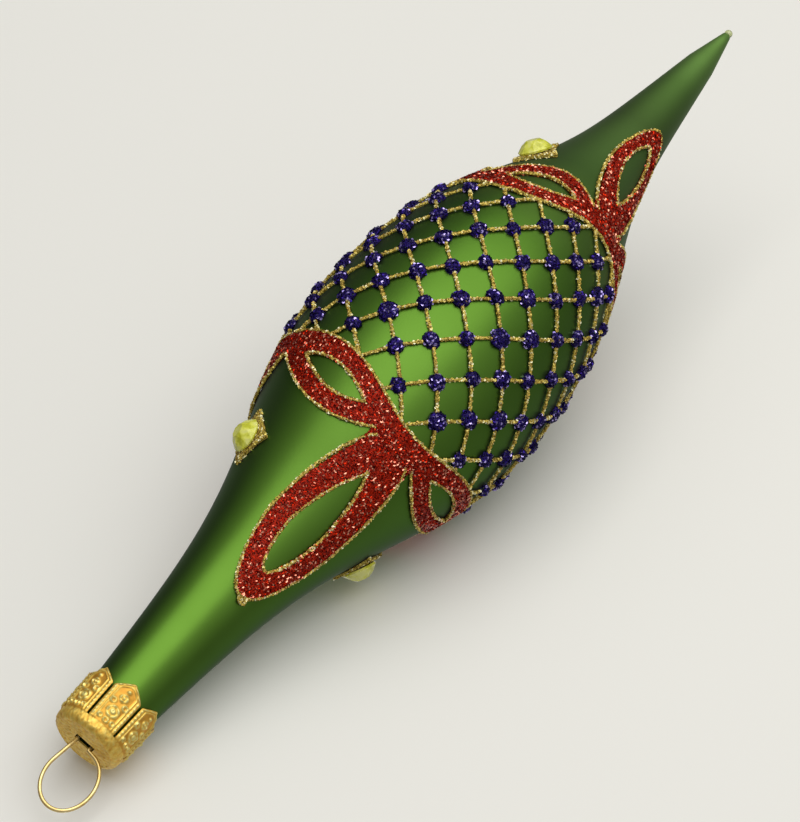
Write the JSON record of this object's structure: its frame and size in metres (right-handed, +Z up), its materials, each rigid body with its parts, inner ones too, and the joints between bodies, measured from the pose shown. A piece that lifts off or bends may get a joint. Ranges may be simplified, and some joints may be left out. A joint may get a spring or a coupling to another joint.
{
  "type": "hanging glass ornament",
  "caption": "Olive-shaped blown glass ornament with a raised gold trellis, purple dots, red ribbon bows and set gems, a petalled metal cap and a wire hanger.",
  "frame": {"origin": "where a hook bears, inside the top of the wire loop, on the ornament's axis", "axes": "+Z up along the ornament's axis to the cap, +X along the cap's slot and in the plane of the wire loop, +Y across the loop"},
  "size_m": [0.0534, 0.0533, 0.2245],
  "materials": {
    "green_lacquered_glass": "satin metallic green lacquer over silvered glass",
    "silvering": "mirror coat",
    "clear_glass": "clear, fire polished",
    "gold_sheet": "pressed and gold coloured, embossed",
    "gold_wire": "bright drawn wire",
    "gold_glitter": "gold glitter in clear glue",
    "purple_glitter": "purple glitter in clear glue",
    "red_glitter": "red glitter in clear glue",
    "lime_gem": "faceted, polished"
  },
  "bodies": {
    "glass": {"glass_body": "green_lacquered_glass", "silver_lining": "silvering", "tip_pip": "clear_glass", "trellis_lines": "gold_glitter", "trellis_dots": "purple_glitter", "neck_bow_1": "red_glitter", "neck_bow_2": "red_glitter", "tip_bow_1": "red_glitter", "tip_bow_2": "red_glitter", "neck_bow_outline_1": "gold_glitter", "neck_bow_outline_2": "gold_glitter", "tip_bow_outline_1": "gold_glitter", "tip_bow_outline_2": "gold_glitter", "neck_gem_pad_1": "gold_glitter", "neck_gem_pad_2": "gold_glitter", "tip_gem_pad_1": "gold_glitter", "tip_gem_pad_2": "gold_glitter", "neck_gem_1": "lime_gem", "neck_gem_2": "lime_gem", "tip_gem_1": "lime_gem", "tip_gem_2": "lime_gem"},
    "cap": {"crown_cap": "gold_sheet"},
    "hanger": {"hanger_wire": "gold_wire"}
  },
  "joints": [
    {"name": "cap_pull", "type": "slide", "parent": "glass", "child": "cap", "axis": [0, 0, 1], "range_m": [0, 0.016]},
    {"name": "hanger_swing", "type": "hinge", "parent": "cap", "child": "hanger", "pos_m": [0, 0, -0.0121], "axis": [1, 0, 0], "range_deg": [-12, 12]}
  ]
}
